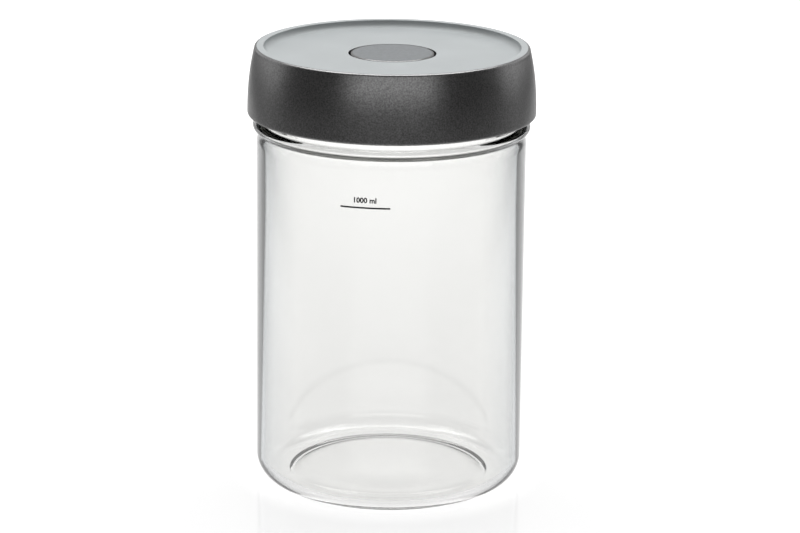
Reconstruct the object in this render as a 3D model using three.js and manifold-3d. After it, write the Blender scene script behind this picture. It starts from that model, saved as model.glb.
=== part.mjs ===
// Fermentation jar: a round glass jar with a screw lid, and a degassing valve under the button in the lid.
// Millimetres, Z up. The jar stands on Z = 0 and its axis is the Z axis.
// Each piece of the object is one named mesh.
import * as THREE from "three";
import { mergeVertices } from "three/addons/utils/BufferGeometryUtils.js";
import Module from "manifold-3d";

const wasm = await Module();
wasm.setup();

// Driving dimensions: gaps between pieces
const seat = 0.1; // between faces that rest on each other
const slip = 0.3; // around a piece that is pushed into another

// Driving dimensions: glass jar
const bodyDiameter = 108.6;
const glassWall = 3;
const heelRadius = 9.5; // outside corner between side wall and base
const innerHeelRadius = 6.6;
const floorThickness = 3.3; // at the heel
const floorRise = 1; // of the inside floor, up to its centre
const puntRise = 1.4; // hollow under the base
const puntFlank = 10; // how steeply that hollow rises from its ring, as a power
const standingRingWidth = 4;
const beadHeight = 148.2; // where the bead below the lid is widest
const beadProud = 1.5; // beyond the side wall
const beadRise = 1.2; // from the widest point up to the neck
const beadDrop = 2.2; // from the widest point down to the waist
const waistDepth = 0.5; // shallow hollow below the bead
const waistDrop = 5; // from the bead down to the side wall
const shoulderStep = 2.4; // from the side wall in to the neck
const shoulderRise = 4.6; // above the bead, where the inside is as narrow as the neck
const shoulderDrop = 9; // below the bead's top, where the inside starts to narrow

// Driving dimensions: screw thread
const threadStarts = 4;
const threadSpan = 110; // degrees that each start runs round the neck
const threadDepth = 1.1;
const threadRootGap = 0.4; // from a crest to the root it faces
const threadFlankGap = 0.3; // between the flanks that carry the lid
const threadPlay = 1.1; // spare room in each groove
const glassRidgeBase = 3;
const glassRidgeCrest = 1.6;
const lidRidgeBase = 2.6;
const lidRidgeCrest = 1.4;
const threadRunOut = 0.14; // share of a ridge's length that fades in, and out
const threadEnd = 0.15; // share of its height that a ridge has at its ends
const ridgeBite = 0.6; // how far a ridge reaches into its wall
const threadBelowLip = 3.8; // from the glass lip down to the top of a ridge's line
const threadFoot = 1.4; // liner wall below its lowest ridge

// Driving dimensions: lid
const skirtGap = 3.4; // from the glass bead up to the skirt
const linerInset = 1.5; // liner's lower edge above the skirt's
const linerWall = 1.2;
const ceilingThickness = 1.8;
const coverWall = 1.3;
const plateThickness = 2.4;
const recessFillet = 2.5; // concave corner round the top plate
const recessWall = 0.5; // upright above that corner
const rimWidth = 3.55; // with its rounded outer edge
const rimRound = 1;
const skirtFlare = 3; // skirt's lower edge beyond the rim
const skirtBarrel = 2.3; // power of the skirt's outward curve
const skirtEdgeRound = 0.8;
const ribCount = 16; // upright ribs that centre the liner in the cover
const ribThickness = 1.4;
const snapProud = 0.9; // ridge in the cover that the ribs snap over

// Driving dimensions: lid gasket
const gasketThickness = 2;
const gasketOverhang = 1.2; // inside the glass lip
const gasketRibWidth = 1.4;
const gasketRibDrop = 1.6;

// Driving dimensions: valve
const buttonDiameter = 33.6;
const buttonThickness = 2.6;
const buttonStand = 0.1; // above the top plate
const buttonGap = 0.75; // all round, in the plate's hole
const buttonRound = 0.6;
const buttonTravel = 2.5;
const wellGap = 0.7; // well's wall beyond the plate's hole
const wellWall = 1.5;
const wellFloor = 1.8;
const umbrellaLap = 1.1; // beyond the stem's bore
const umbrellaHeight = 1.2;
const umbrellaEdge = 0.4;
const umbrellaStemDiameter = 2;
const umbrellaBulbLap = 0.7; // bulb beyond its stem
const umbrellaBulbLength = 1.6;
const liftRoom = 1; // above the umbrella, for it to open
const hookReach = 1; // head beyond the stem, for the hooks
const headThickness = 1.4;
const stemDiameter = 10;
const stemWall = 1.5;
const portLand = 0.45; // each side of a port
const portCount = 6;
const hookHeight = 1.1;
const legCount = 4;
const legThickness = 1.2;
const legWidth = 4;
const legClearance = 0.3; // under the legs when the button is right down
const footLap = 3.2; // foot beyond the bore in the well's floor
const footThickness = 1.4;
const footSealThickness = 1.4;
const wireDiameter = 0.9;
const springTurns = 3.5;
const springGap = 0.6; // between the legs' corners and the spring

// Mesh fineness
const roundSides = 64;
const smallSides = 28;
const portSides = 8;
const wireSides = 6;
const stepsPerTurn = 16;
const threadSteps = 14;
const cornerSteps = 3; // small rounded edges
const curveSteps = 4; // heel, bead, shoulder and fillet
const lipSteps = 6;
const skirtSteps = 8;

// Radii that follow
const bodyRadius = bodyDiameter / 2;
const bodyInner = bodyRadius - glassWall;
const neckRadius = bodyRadius - shoulderStep;
const neckInner = neckRadius - glassWall;
const beadRadius = bodyRadius + beadProud;
const waistRadius = bodyRadius - waistDepth;
const linerInner = neckRadius + threadDepth + threadRootGap;
const linerOuter = linerInner + linerWall;
const coverInner = linerOuter + slip; // at the top plate
const buttonRadius = buttonDiameter / 2;
const holeRadius = buttonRadius + buttonGap;
const wellInner = holeRadius + wellGap;
const wellOuter = wellInner + wellWall;
const stemRadius = stemDiameter / 2;
const stemBore = stemRadius - stemWall;
const headRadius = stemRadius + hookReach;
const boreRadius = headRadius + slip; // the stem's head passes through
const footRadius = boreRadius + footLap;
const legInner = headRadius + slip;
const legOuter = legInner + legThickness;
const hookInner = stemRadius + slip + seat;
const springRadius = Math.hypot(legOuter, legWidth / 2) + springGap + wireDiameter / 2;
const gasketOuter = linerInner - slip;
const gasketInner = neckInner - gasketOverhang;
const gasketRibOuter = gasketInner - slip;

// Heights that follow, from the bead up
const ridgeOffset = (glassRidgeBase + glassRidgeCrest + lidRidgeBase + lidRidgeCrest) / 4 + threadFlankGap;
const threadPitch = 2 * ridgeOffset + threadPlay; // between neighbouring starts
const threadLead = threadStarts * threadPitch;
const threadRise = (threadLead * threadSpan) / 360;
const beadBottom = beadHeight - beadDrop;
const beadTop = beadHeight + beadRise;
const skirtBottom = beadTop + skirtGap;
const linerBottom = skirtBottom + linerInset;
const lidThreadLow = linerBottom + threadFoot + lidRidgeBase / 2;
const glassThreadLow = lidThreadLow + ridgeOffset;
const lipTop = glassThreadLow + threadRise + threadBelowLip;
const gasketBottom = lipTop + seat;
const gasketTop = gasketBottom + gasketThickness;
const ceilingUnder = gasketTop + seat;
const linerTop = ceilingUnder + ceilingThickness;
const plateUnder = linerTop + seat;
const plateTop = plateUnder + plateThickness;
const lidTop = plateTop + recessFillet + recessWall;

// Lid radii that follow from its height: the skirt's inside meets the liner at the top plate.
const skirtShare = (height) => (height - skirtBottom) / (lidTop - skirtBottom);
const skirtSpread = (height) => skirtFlare * (1 - skirtShare(height) ** skirtBarrel);
const rimRadius = coverInner + coverWall - skirtSpread(plateUnder);
const recessRadius = rimRadius - rimWidth;

// Heights that follow, from the button down
const buttonTop = plateTop + buttonStand;
const buttonUnder = buttonTop - buttonThickness;
const headTop = buttonUnder - liftRoom - umbrellaHeight - seat;
const headUnder = headTop - headThickness;
const legBottom = headUnder - seat - hookHeight;
const wellTop = legBottom - legClearance - buttonTravel;
const wellUnder = wellTop - wellFloor;
const footSealTop = wellUnder - seat;
const footSealBottom = footSealTop - footSealThickness;
const footTop = footSealBottom - seat;
const footBottom = footTop - footThickness;

// Outline helpers. An outline is a list of [radius, height] points.

function arc(centreRadius, centreHeight, radius, fromDegrees, toDegrees, steps) {
  return Array.from({ length: steps + 1 }, (_, i) => {
    const angle = THREE.MathUtils.degToRad(THREE.MathUtils.lerp(fromDegrees, toDegrees, i / steps));
    return [centreRadius + radius * Math.cos(angle), centreHeight + radius * Math.sin(angle)];
  });
}

// An S-shaped run between two points that leaves and arrives upright.
function easeBetween([fromRadius, fromHeight], [toRadius, toHeight], steps) {
  return Array.from({ length: steps + 1 }, (_, i) => {
    const share = i / steps;
    const blend = (1 - Math.cos(Math.PI * share)) / 2;
    const radius = THREE.MathUtils.lerp(fromRadius, toRadius, blend);
    return [radius, THREE.MathUtils.lerp(fromHeight, toHeight, share)];
  });
}

// Solid helpers

function revolve(outline, sides) {
  const points = outline.map(([radius, height]) => new THREE.Vector2(radius, height));
  return new THREE.LatheGeometry(points, sides).rotateX(Math.PI / 2);
}

// An outline in the plane of a radius, given a width across that plane.
function radialPrism(outline, width) {
  const shape = new THREE.Shape(outline.map(([radius, height]) => new THREE.Vector2(radius, height)));
  const geometry = new THREE.ExtrudeGeometry(shape, { depth: width, bevelEnabled: false });
  return geometry.translate(0, 0, -width / 2).rotateX(Math.PI / 2);
}

// A closed skin over a row of matching rings of points, with a flat fan at each end.
function loft(rings) {
  const sides = rings[0].length;
  const last = (rings.length - 1) * sides;
  const index = [];
  for (let ring = 0; ring < rings.length - 1; ring++) {
    for (let side = 0; side < sides; side++) {
      const here = ring * sides + side;
      const next = ring * sides + ((side + 1) % sides);
      index.push(here, next, next + sides, here, next + sides, here + sides);
    }
  }
  for (let side = 1; side < sides - 1; side++) {
    index.push(0, side + 1, side, last, last + side, last + side + 1);
  }
  const geometry = new THREE.BufferGeometry().setFromPoints(rings.flat());
  return geometry.setIndex(index);
}

function toSolid(geometry) {
  const bare = geometry.clone();
  bare.deleteAttribute("normal");
  bare.deleteAttribute("uv");
  const merged = mergeVertices(bare, 1e-3);
  const vertProperties = merged.attributes.position.array;
  const triVerts = new Uint32Array(merged.index.array);
  return new wasm.Manifold(new wasm.Mesh({ numProp: 3, vertProperties, triVerts }));
}

function toGeometry(solid) {
  const { vertProperties, triVerts } = solid.getMesh();
  const geometry = new THREE.BufferGeometry();
  geometry.setAttribute("position", new THREE.BufferAttribute(vertProperties, 3));
  geometry.setIndex(new THREE.BufferAttribute(triVerts, 1));
  geometry.computeVertexNormals();
  return geometry;
}

function join(base, additions) {
  const joined = additions.reduce((sum, piece) => sum.add(toSolid(piece)), toSolid(base));
  return toGeometry(joined);
}

// Copies of a piece, evenly turned about the axis.
function ringOf(count, makePiece) {
  return Array.from({ length: count }, (_, i) => makePiece().rotateZ((2 * Math.PI * i) / count));
}

// One start of a thread: a ridge that climbs anticlockwise from its low end.
// Its depth is negative on an inside wall.
function threadRidge({ wallRadius, depth, base, crest, low }) {
  const foot = wallRadius - Math.sign(depth) * ridgeBite;
  const rings = [];
  for (let i = 0; i <= threadSteps; i++) {
    const share = i / threadSteps;
    const fade = Math.min(1, threadEnd + share / threadRunOut, threadEnd + (1 - share) / threadRunOut);
    const top = wallRadius + depth * fade;
    const angle = THREE.MathUtils.degToRad(threadSpan * share);
    const height = low + threadRise * share;
    const section = [
      [foot, height - base / 2],
      [top, height - crest / 2],
      [top, height + crest / 2],
      [foot, height + base / 2],
    ];
    if (depth > 0) section.reverse();
    rings.push(section.map(([r, z]) => new THREE.Vector3(r * Math.cos(angle), r * Math.sin(angle), z)));
  }
  return loft(rings);
}

// Pieces

// Glass: a hollow base on a flat ring, a straight side, a bead over a shallow waist, and a threaded neck.
function makeGlassJar() {
  const ringOuter = bodyRadius - heelRadius;
  const ringInner = ringOuter - standingRingWidth;
  const floorEdge = bodyInner - innerHeelRadius;
  // Shares of the way out from the centre; those below the base crowd towards its standing ring.
  const shares = Array.from({ length: curveSteps }, (_, i) => i / curveSteps);
  const lowShares = shares.map((share) => 1 - (1 - share) ** 2);
  const underside = lowShares.map((share) => [ringInner * share, puntRise * (1 - share ** puntFlank)]);
  const heel = arc(ringOuter, heelRadius, heelRadius, -90, 0, curveSteps);
  const waist = easeBetween([bodyRadius, beadBottom - waistDrop], [waistRadius, beadBottom], curveSteps);
  const beadHalf = (fromDegrees, toDegrees, rootRadius, reach) =>
    arc(0, 0, 1, fromDegrees, toDegrees, curveSteps).map(([across, up]) => [
      rootRadius + across * (beadRadius - rootRadius),
      beadHeight + up * reach,
    ]);
  const beadBelow = beadHalf(-90, 0, waistRadius, beadDrop).slice(1);
  const beadAbove = beadHalf(0, 90, neckRadius, beadRise).slice(1);
  const lip = arc(neckRadius - glassWall / 2, lipTop - glassWall / 2, glassWall / 2, 0, 180, lipSteps);
  const shoulderTop = [neckInner, beadTop + shoulderRise];
  const shoulder = easeBetween(shoulderTop, [bodyInner, beadTop - shoulderDrop], curveSteps);
  const innerHeel = arc(floorEdge, floorThickness + innerHeelRadius, innerHeelRadius, 0, -90, curveSteps);
  const floorHeight = (share) => floorThickness + floorRise * (1 - share ** 2);
  const floor = shares.toReversed().map((share) => [floorEdge * share, floorHeight(share)]);
  const outside = [...underside, [ringInner, 0], ...heel, ...waist, ...beadBelow, ...beadAbove];
  const outline = [...outside, ...lip, ...shoulder, ...innerHeel, ...floor];
  const ridge = () =>
    threadRidge({
      wallRadius: neckRadius,
      depth: threadDepth,
      base: glassRidgeBase,
      crest: glassRidgeCrest,
      low: glassThreadLow,
    });
  return join(revolve(outline, roundSides), ringOf(threadStarts, ridge));
}

// The skirt's outside between two heights, or a line set in from it.
function skirtRun(fromHeight, toHeight, inset, steps) {
  return Array.from({ length: steps + 1 }, (_, i) => {
    const height = THREE.MathUtils.lerp(fromHeight, toHeight, i / steps);
    return [rimRadius + skirtSpread(height) - inset, height];
  });
}

// Moulded outer shell: flared skirt, flat rim, and a recessed plate with the button's hole.
function makeLidCover() {
  const edgeTop = skirtBottom + skirtEdgeRound;
  const outside = skirtRun(edgeTop, lidTop - rimRound, 0, skirtSteps);
  const skirtEdge = arc(outside[0][0] - skirtEdgeRound, edgeTop, skirtEdgeRound, -90, 0, cornerSteps);
  const rimEdge = arc(outside.at(-1)[0] - rimRound, lidTop - rimRound, rimRound, 0, 90, cornerSteps);
  const fillet = arc(recessRadius - recessFillet, plateTop + recessFillet, recessFillet, 0, -90, curveSteps);
  const snapTop = linerBottom - seat;
  const inside = skirtRun(plateUnder, snapTop, coverWall, curveSteps);
  const snapRoot = inside.at(-1)[0];
  const snapRidge = [
    [snapRoot - snapProud, snapTop],
    [snapRoot, skirtBottom + linerInset / 2],
  ];
  const outline = [
    ...skirtEdge,
    ...outside.slice(1),
    ...rimEdge.slice(1),
    [recessRadius, lidTop],
    ...fillet,
    [holeRadius, plateTop],
    [holeRadius, plateUnder],
    ...inside,
    ...snapRidge,
    [snapRoot, skirtBottom],
  ];
  return revolve([...outline, outline[0]], roundSides);
}

// Inner cap: threaded wall, ceiling with a groove for the gasket, and the well that holds the valve.
function makeThreadLiner() {
  const ribBottom = ceilingUnder - gasketRibDrop;
  const outline = [
    [boreRadius, wellUnder],
    [wellOuter, wellUnder],
    [wellOuter, ceilingUnder],
    [gasketRibOuter - gasketRibWidth, ceilingUnder],
    [gasketRibOuter - gasketRibWidth, ribBottom],
    [gasketRibOuter, ribBottom],
    [gasketRibOuter, ceilingUnder],
    [linerInner, ceilingUnder],
    [linerInner, linerBottom],
    [linerOuter, linerBottom],
    [linerOuter, linerTop],
    [wellInner, linerTop],
    [wellInner, wellTop],
    [boreRadius, wellTop],
    [boreRadius, wellUnder],
  ];
  const ridge = () =>
    threadRidge({
      wallRadius: linerInner,
      depth: -threadDepth,
      base: lidRidgeBase,
      crest: lidRidgeCrest,
      low: lidThreadLow,
    });
  const ribInset = coverWall + slip;
  const ribFoot = linerOuter - linerWall / 2;
  const ribEdge = skirtRun(linerBottom, linerTop, ribInset, curveSteps);
  const ribOutline = [[ribFoot, linerBottom], ...ribEdge, [ribFoot, linerTop]];
  const rib = () => radialPrism(ribOutline, ribThickness);
  return join(revolve(outline, roundSides), [...ringOf(threadStarts, ridge), ...ringOf(ribCount, rib)]);
}

// Silicone ring between the liner's ceiling and the glass lip.
function makeLidGasket() {
  const outline = [
    [gasketInner, gasketBottom],
    [gasketOuter, gasketBottom],
    [gasketOuter, gasketTop],
    [gasketInner, gasketTop],
    [gasketInner, gasketBottom],
  ];
  return revolve(outline, roundSides);
}

// Round push button, with hooked legs that clip under the stem's head.
function makeValveButton() {
  const disc = [
    [0, buttonUnder],
    [buttonRadius, buttonUnder],
    ...arc(buttonRadius - buttonRound, buttonTop - buttonRound, buttonRound, 0, 90, cornerSteps),
    [0, buttonTop],
  ];
  const legOutline = [
    [hookInner, legBottom],
    [legOuter, legBottom],
    [legOuter, buttonUnder + buttonThickness / 2],
    [legInner, buttonUnder + buttonThickness / 2],
    [legInner, legBottom + hookHeight],
    [hookInner, legBottom + hookHeight],
  ];
  return join(revolve(disc, roundSides), ringOf(legCount, () => radialPrism(legOutline, legWidth)));
}

// Hollow plunger: a foot inside the jar, a tube through the well's floor, and a head with gas ports.
function makeValveStem() {
  const umbrellaHole = umbrellaStemDiameter / 2 + seat;
  const outline = [
    [stemBore, footBottom],
    [footRadius, footBottom],
    [footRadius, footTop],
    [stemRadius, footTop],
    [stemRadius, headUnder],
    [headRadius, headUnder],
    [headRadius, headTop],
    [umbrellaHole, headTop],
    [umbrellaHole, headUnder],
    [stemBore, headUnder],
    [stemBore, footBottom],
  ];
  const portCircle = (umbrellaHole + stemBore) / 2;
  const portRadius = (stemBore - umbrellaHole) / 2 - portLand;
  const port = () =>
    new THREE.CylinderGeometry(portRadius, portRadius, 2 * headThickness, portSides)
      .rotateX(Math.PI / 2)
      .translate(portCircle, 0, (headTop + headUnder) / 2);
  const drilled = ringOf(portCount, port).reduce(
    (left, hole) => left.subtract(toSolid(hole)),
    toSolid(revolve(outline, smallSides)),
  );
  return toGeometry(drilled);
}

// Silicone one-way valve: a dome over the ports, held by a bulb below the head.
function makeUmbrellaValve() {
  const domeRadius = stemBore + umbrellaLap;
  const domeBottom = headTop + seat;
  const stem = umbrellaStemDiameter / 2;
  const bulbTop = headUnder - seat;
  const outline = [
    [0, bulbTop - umbrellaBulbLength],
    [stem + umbrellaBulbLap, bulbTop - umbrellaBulbLength / 2],
    [stem, bulbTop],
    [stem, domeBottom],
    [domeRadius, domeBottom],
    [domeRadius, domeBottom + umbrellaEdge],
    [domeRadius * Math.SQRT1_2, domeBottom + (umbrellaEdge + umbrellaHeight) / 2],
    [0, domeBottom + umbrellaHeight],
  ];
  return revolve(outline, smallSides);
}

// Silicone washer that the foot pulls up against the well's floor.
function makeFootSeal() {
  const inner = stemRadius + seat;
  const outline = [
    [inner, footSealBottom],
    [footRadius, footSealBottom],
    [footRadius, footSealTop],
    [inner, footSealTop],
    [inner, footSealBottom],
  ];
  return revolve(outline, smallSides);
}

// Round wire spring between the well's floor and the button.
function makeReturnSpring() {
  const low = wellTop + seat + wireDiameter / 2;
  const high = buttonUnder - seat - wireDiameter / 2;
  const steps = Math.round(springTurns * stepsPerTurn);
  const rings = [];
  for (let i = 0; i <= steps; i++) {
    const angle = (2 * Math.PI * i) / stepsPerTurn;
    const height = THREE.MathUtils.lerp(low, high, i / steps);
    const ring = [];
    for (let side = 0; side < wireSides; side++) {
      const around = (2 * Math.PI * side) / wireSides;
      const radius = springRadius + (wireDiameter / 2) * Math.cos(around);
      const drop = (wireDiameter / 2) * Math.sin(around);
      ring.push(new THREE.Vector3(radius * Math.cos(angle), radius * Math.sin(angle), height - drop));
    }
    rings.push(ring);
  }
  return loft(rings);
}

// Finishes

const clearGlass = { color: 0xeef3f2, roughness: 0.03, metalness: 0, transparent: true, opacity: 0.35 };
const anthracitePlastic = { color: 0x3a393b, roughness: 0.5, metalness: 0 };
const naturalPlastic = { color: 0xc9cac4, roughness: 0.45, metalness: 0 };
const blackPlastic = { color: 0x222324, roughness: 0.45, metalness: 0 };
const greySilicone = { color: 0x4a4c4e, roughness: 0.6, metalness: 0 };
const paleSilicone = { color: 0xd9dad6, roughness: 0.6, metalness: 0 };
const springSteel = { color: 0xb9bcbf, roughness: 0.3, metalness: 1 };

function piece(name, geometry, finish) {
  const mesh = new THREE.Mesh(geometry, new THREE.MeshStandardMaterial(finish));
  mesh.name = name;
  return mesh;
}

const valve = new THREE.Group();
valve.add(piece("valve_button", makeValveButton(), greySilicone));
valve.add(piece("valve_stem", makeValveStem(), blackPlastic));
valve.add(piece("umbrella_valve", makeUmbrellaValve(), paleSilicone));
valve.add(piece("foot_seal", makeFootSeal(), paleSilicone));

const lid = new THREE.Group();
lid.add(piece("lid_cover", makeLidCover(), anthracitePlastic));
lid.add(piece("thread_liner", makeThreadLiner(), naturalPlastic));
lid.add(piece("lid_gasket", makeLidGasket(), paleSilicone));
lid.add(piece("return_spring", makeReturnSpring(), springSteel));
lid.add(valve);

const jar = new THREE.Group();
jar.add(piece("glass_jar", makeGlassJar(), clearGlass));
jar.add(lid);

export default jar;
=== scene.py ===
import bmesh
import bpy
import math
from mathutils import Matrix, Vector


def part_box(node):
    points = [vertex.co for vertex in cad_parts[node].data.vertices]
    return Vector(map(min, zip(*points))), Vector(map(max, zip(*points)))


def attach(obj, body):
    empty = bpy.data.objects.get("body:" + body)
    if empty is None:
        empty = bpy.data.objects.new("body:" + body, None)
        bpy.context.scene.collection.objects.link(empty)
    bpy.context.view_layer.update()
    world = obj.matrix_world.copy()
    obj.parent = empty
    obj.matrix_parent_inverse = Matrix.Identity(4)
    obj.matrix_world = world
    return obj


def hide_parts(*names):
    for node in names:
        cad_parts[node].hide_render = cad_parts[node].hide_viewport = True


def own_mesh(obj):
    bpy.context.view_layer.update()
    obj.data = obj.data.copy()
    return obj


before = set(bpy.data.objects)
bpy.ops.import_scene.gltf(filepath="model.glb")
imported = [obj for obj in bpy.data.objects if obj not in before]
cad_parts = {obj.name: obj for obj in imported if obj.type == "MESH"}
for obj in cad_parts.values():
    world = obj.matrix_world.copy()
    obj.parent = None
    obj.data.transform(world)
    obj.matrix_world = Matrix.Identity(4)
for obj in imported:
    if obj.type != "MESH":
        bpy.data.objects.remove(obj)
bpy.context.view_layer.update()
mm = 0.001


# small helpers

def linear(hexColour):  # sRGB hex to linear RGBA
    parts = [int(hexColour[i:i + 2], 16) / 255 for i in (1, 3, 5)]
    return [c / 12.92 if c <= 0.04045 else ((c + 0.055) / 1.055) ** 2.4 for c in parts] + [1.0]


def addNode(tree, kind, settings={}, inputs={}):  # inputs hold values, or sockets to link from
    node = tree.nodes.new(kind)
    for key, value in settings.items():
        setattr(node, key, value)
    for key, value in inputs.items():
        if isinstance(value, bpy.types.NodeSocket):
            tree.links.new(value, node.inputs[key])
        else:
            node.inputs[key].default_value = value
    return node


def newMaterial(name):
    material = bpy.data.materials.new(name)
    material.use_nodes = True
    material.node_tree.nodes.clear()
    return material, material.node_tree


def setRamp(node, stops):  # places along the ramp with sRGB hex colours
    ramp = node.color_ramp
    while len(ramp.elements) < len(stops):
        ramp.elements.new(0.5)
    for element, (place, colour) in zip(ramp.elements, stops):
        element.position, element.color = place, linear(colour)


def arc(centreR, centreZ, radius, fromDeg, toDeg, steps):
    angles = [math.radians(fromDeg + (toDeg - fromDeg) * i / steps) for i in range(steps + 1)]
    return [(centreR + radius * math.cos(a), centreZ + radius * math.sin(a)) for a in angles]


def easeRun(start, end, steps):  # S-shaped, upright at both ends
    run = []
    for i in range(steps + 1):
        share = i / steps
        blend = (1 - math.cos(math.pi * share)) / 2
        run.append((start[0] + (end[0] - start[0]) * blend, start[1] + (end[1] - start[1]) * share))
    return run


def roundCorners(corners, steps=5):  # (radius, height, edge radius) all round a closed outline
    outline = []
    for i, (r, z, edge) in enumerate(corners):
        here = Vector((r, z))
        back = (Vector(corners[i - 1][:2]) - here).normalized()
        ahead = (Vector(corners[(i + 1) % len(corners)][:2]) - here).normalized()
        half = back.angle(ahead) / 2
        if edge <= 0 or abs(half - math.pi / 2) < 1e-4:
            outline.append((r, z))
            continue
        centre = here + (back + ahead).normalized() * edge / math.sin(half)
        first, last = [here + way * edge / math.tan(half) - centre for way in (back, ahead)]
        swing = first.angle_signed(last)
        for k in range(steps + 1):
            turn = -swing * k / steps
            c, s = math.cos(turn), math.sin(turn)
            outline.append((centre.x + first.x * c - first.y * s, centre.y + first.x * s + first.y * c))
    return outline


def holdEnds(outline, closed, hold=0.25, long=2.0):  # rows near both ends of a long run keep its shading flat
    held = []
    ends = outline[1:] + ([outline[0]] if closed else [])
    for start, end in zip(outline, ends):
        held.append(start)
        run = Vector(end) - Vector(start)
        if run.length > long:
            step = run.normalized() * hold
            held += [tuple(Vector(start) + step), tuple(Vector(end) - step)]
    return held if closed else held + [outline[-1]]


def revolve(name, outline, sides, material, closed=True, bulge=None, sharpDeg=40):
    outline = holdEnds(outline, closed)
    mesh = bmesh.new()
    rings = []
    for r, z in outline:
        if r < 1e-6:
            rings.append([mesh.verts.new((0, 0, z * mm))])
            continue
        ring = []
        for k in range(sides):
            angle = 2 * math.pi * k / sides
            out = (r + (bulge(angle, r, z) if bulge else 0)) * mm
            ring.append(mesh.verts.new((out * math.cos(angle), out * math.sin(angle), z * mm)))
        rings.append(ring)
    pairs = list(zip(rings, rings[1:])) + ([(rings[-1], rings[0])] if closed else [])
    for low, high in pairs:
        for k in range(sides):
            after = k + 1
            corners = [low[k % len(low)], low[after % len(low)],
                       high[after % len(high)], high[k % len(high)]]
            mesh.faces.new(list(dict.fromkeys(corners)))
    bmesh.ops.recalc_face_normals(mesh, faces=mesh.faces[:])
    return finishMesh(name, mesh, [material], sharpDeg)


def finishMesh(name, mesh, materials, sharpDeg=40):
    data = bpy.data.meshes.new(name)
    mesh.to_mesh(data)
    mesh.free()
    for material in materials:
        data.materials.append(material)
    data.shade_smooth()
    data.set_sharp_from_angle(angle=math.radians(sharpDeg))
    piece = bpy.data.objects.new(name, data)
    bpy.context.collection.objects.link(piece)
    return piece


def place(piece, body, slot, *nodes):
    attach(piece, body)
    if nodes:
        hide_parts(*nodes)


def boxMm(node):
    low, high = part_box(node)
    return low / mm, high / mm


def radialPrism(name, outline, width, material):  # an upright outline with a width across it
    mesh = bmesh.new()
    sides = [[mesh.verts.new((r * mm, y * mm, z * mm)) for r, z in outline] for y in (-width / 2, width / 2)]
    mesh.faces.new(sides[0])
    mesh.faces.new(sides[1])
    for k in range(len(outline)):
        after = (k + 1) % len(outline)
        mesh.faces.new((sides[0][k], sides[0][after], sides[1][after], sides[1][k]))
    bmesh.ops.recalc_face_normals(mesh, faces=mesh.faces[:])
    return finishMesh(name, mesh, [material])


def newTree(name, inputs):
    tree = bpy.data.node_groups.new(name, "GeometryNodeTree")
    for label, kind in inputs.items():
        tree.interface.new_socket(label, in_out="INPUT", socket_type=kind)
    tree.interface.new_socket("Geometry", in_out="OUTPUT", socket_type="NodeSocketGeometry")
    return tree, addNode(tree, "NodeGroupInput").outputs


def applyTree(piece, tree, values):  # the tree's result becomes the piece's plain mesh
    grow = piece.modifiers.new("grow", "NODES")
    grow.node_group = tree
    for item in tree.interface.items_tree:
        if item.in_out == "INPUT" and item.name in values:
            grow[item.identifier] = values[item.name]
    settle(piece, grow)


def settle(piece, modifier):
    shown = piece.evaluated_get(bpy.context.evaluated_depsgraph_get())
    plain = bpy.data.meshes.new_from_object(shown)
    piece.modifiers.remove(modifier)
    piece.data = plain


# geometry nodes: copies of a piece, evenly turned about the jar's axis
copiesTree, given = newTree("ringOfCopies", {
    "Geometry": "NodeSocketGeometry", "count": "NodeSocketInt", "finish": "NodeSocketMaterial"})
index = addNode(copiesTree, "GeometryNodeInputIndex")
step = addNode(copiesTree, "ShaderNodeMath", {"operation": "DIVIDE"}, {0: 2 * math.pi, 1: given["count"]})
turn = addNode(copiesTree, "ShaderNodeMath", {"operation": "MULTIPLY"}, {
    0: index.outputs[0], 1: step.outputs[0]})
spin = addNode(copiesTree, "ShaderNodeCombineXYZ", inputs={"Z": turn.outputs[0]})
points = addNode(copiesTree, "GeometryNodePoints", inputs={"Count": given["count"]})
copies = addNode(copiesTree, "GeometryNodeInstanceOnPoints", inputs={
    "Points": points.outputs[0], "Instance": given["Geometry"], "Rotation": spin.outputs[0]})
real = addNode(copiesTree, "GeometryNodeRealizeInstances", inputs={"Geometry": copies.outputs[0]})
painted = addNode(copiesTree, "GeometryNodeSetMaterial", inputs={
    "Geometry": real.outputs[0], "Material": given["finish"]})
addNode(copiesTree, "NodeGroupOutput", inputs={"Geometry": painted.outputs[0]})

# geometry nodes: round wire wound up a spiral
springTree, given = newTree("woundWire", {
    "turns": "NodeSocketFloat", "radius": "NodeSocketFloat", "low": "NodeSocketFloat",
    "rise": "NodeSocketFloat", "wire": "NodeSocketFloat", "finish": "NodeSocketMaterial"})
spiral = addNode(springTree, "GeometryNodeCurveSpiral", inputs={
    "Resolution": 56, "Rotations": given["turns"], "Height": given["rise"],
    "Start Radius": given["radius"], "End Radius": given["radius"]})
lift = addNode(springTree, "ShaderNodeCombineXYZ", inputs={"Z": given["low"]})
lifted = addNode(springTree, "GeometryNodeTransform", inputs={
    "Geometry": spiral.outputs[0], "Translation": lift.outputs[0]})
section = addNode(springTree, "GeometryNodeCurvePrimitiveCircle", inputs={
    "Resolution": 16, "Radius": given["wire"]})
skin = addNode(springTree, "GeometryNodeCurveToMesh", inputs={
    "Curve": lifted.outputs[0], "Profile Curve": section.outputs[0], "Fill Caps": True})
real = addNode(springTree, "GeometryNodeRealizeInstances", inputs={"Geometry": skin.outputs[0]})
painted = addNode(springTree, "GeometryNodeSetMaterial", inputs={
    "Geometry": real.outputs[0], "Material": given["finish"]})
addNode(springTree, "NodeGroupOutput", inputs={"Geometry": painted.outputs[0]})
print("node trees made")


# camera, fitted to the outlines of lid, body and base in an 800 x 533 frame
view = {"distance": 1.200, "height": 0.4319, "pitchDeg": 15.978, "yawDeg": 0.191, "rollDeg": 0.65,
        "lens": 137.82, "sensor": 36}

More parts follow.
